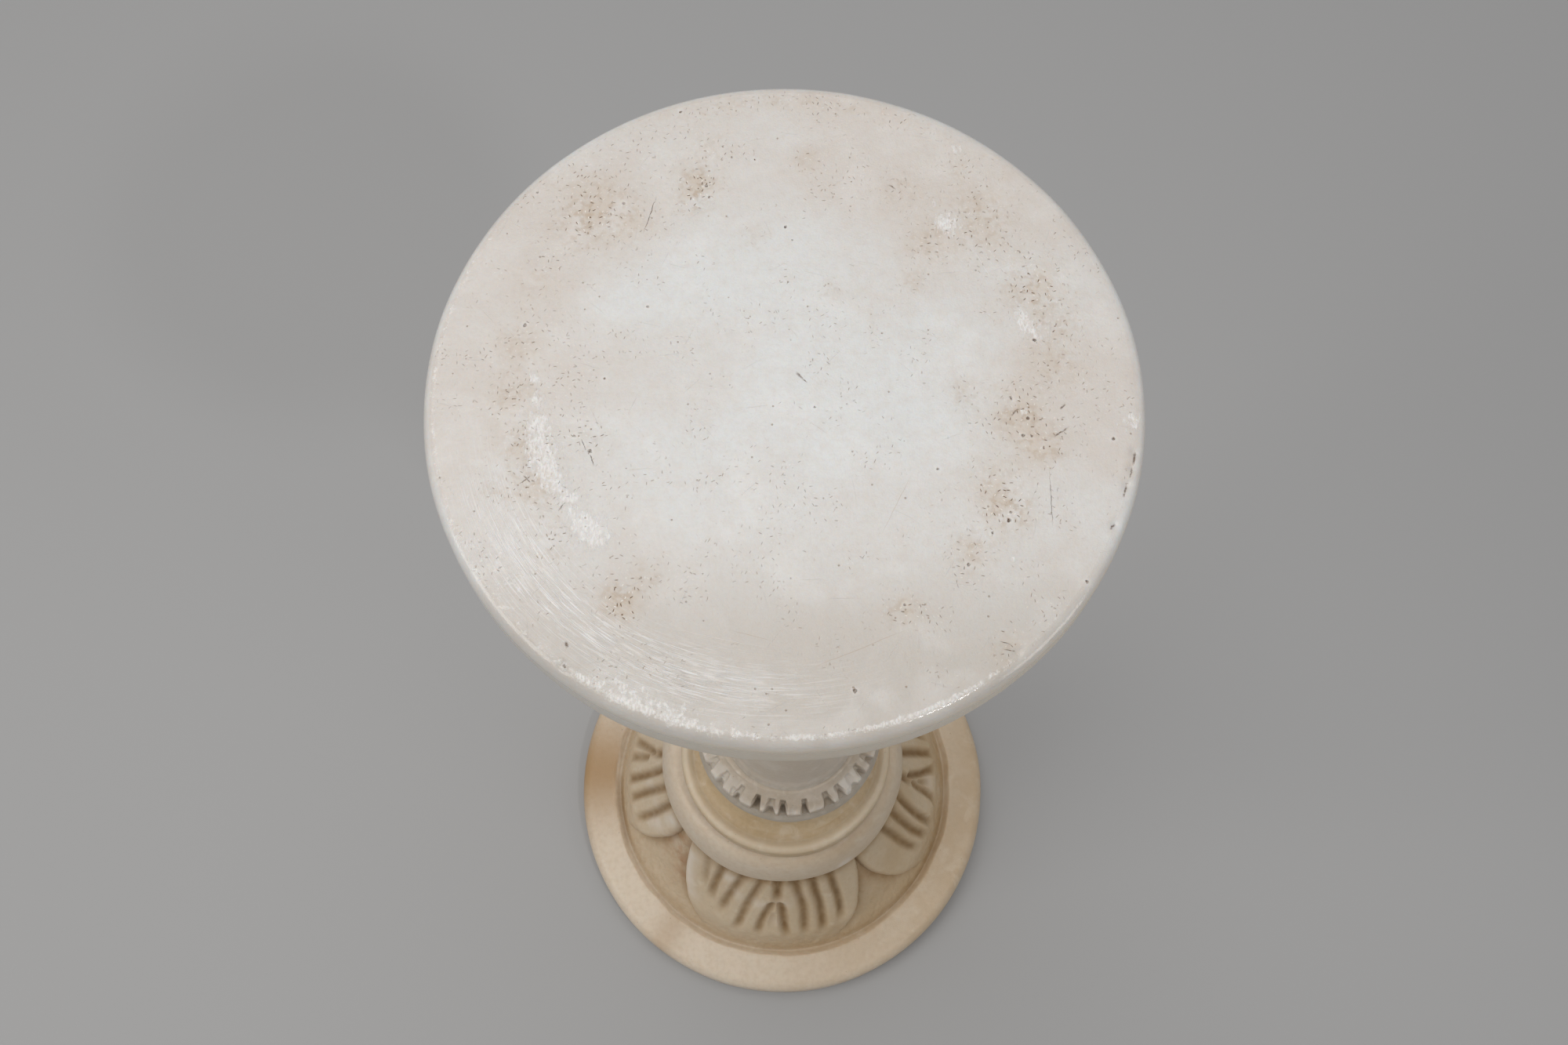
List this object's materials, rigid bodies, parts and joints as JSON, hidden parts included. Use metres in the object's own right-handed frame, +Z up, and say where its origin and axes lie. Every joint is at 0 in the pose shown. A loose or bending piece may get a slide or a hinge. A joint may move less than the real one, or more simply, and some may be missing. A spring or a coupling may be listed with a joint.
{
  "type": "alabaster pedestal",
  "caption": "Round alabaster pedestal: flat top slab on a plain tapered shaft, notched collar, turned scotia drum, and a round foot carved with drooping veined leaves.",
  "frame": {"origin": "centre of the underside of the foot, on the floor", "axes": "+Z up along the shaft; -Y is the side that faces the viewer; +X to the viewer's right"},
  "size_m": [0.355, 0.355, 0.8609],
  "materials": {
    "white_alabaster": "worn polish, pinkish white with tan stains, scuffs and scratches",
    "grey_alabaster": "smooth satin polish, cool grey-beige",
    "pink_grey_alabaster": "satin, pink-grey with pale worn teeth and brown dirt in the notches",
    "golden_alabaster": "satin, golden with brown in the hollow and a pale worn lip",
    "tan_alabaster": "hand-carved satin, pale tan with brown in the veins and an orange-brown patch on the rim"
  },
  "bodies": {
    "root": {"top_slab": "white_alabaster", "shaft": "grey_alabaster", "notched_collar": "pink_grey_alabaster", "scotia_drum": "golden_alabaster", "leaf_foot": "tan_alabaster"}
  },
  "joints": []
}
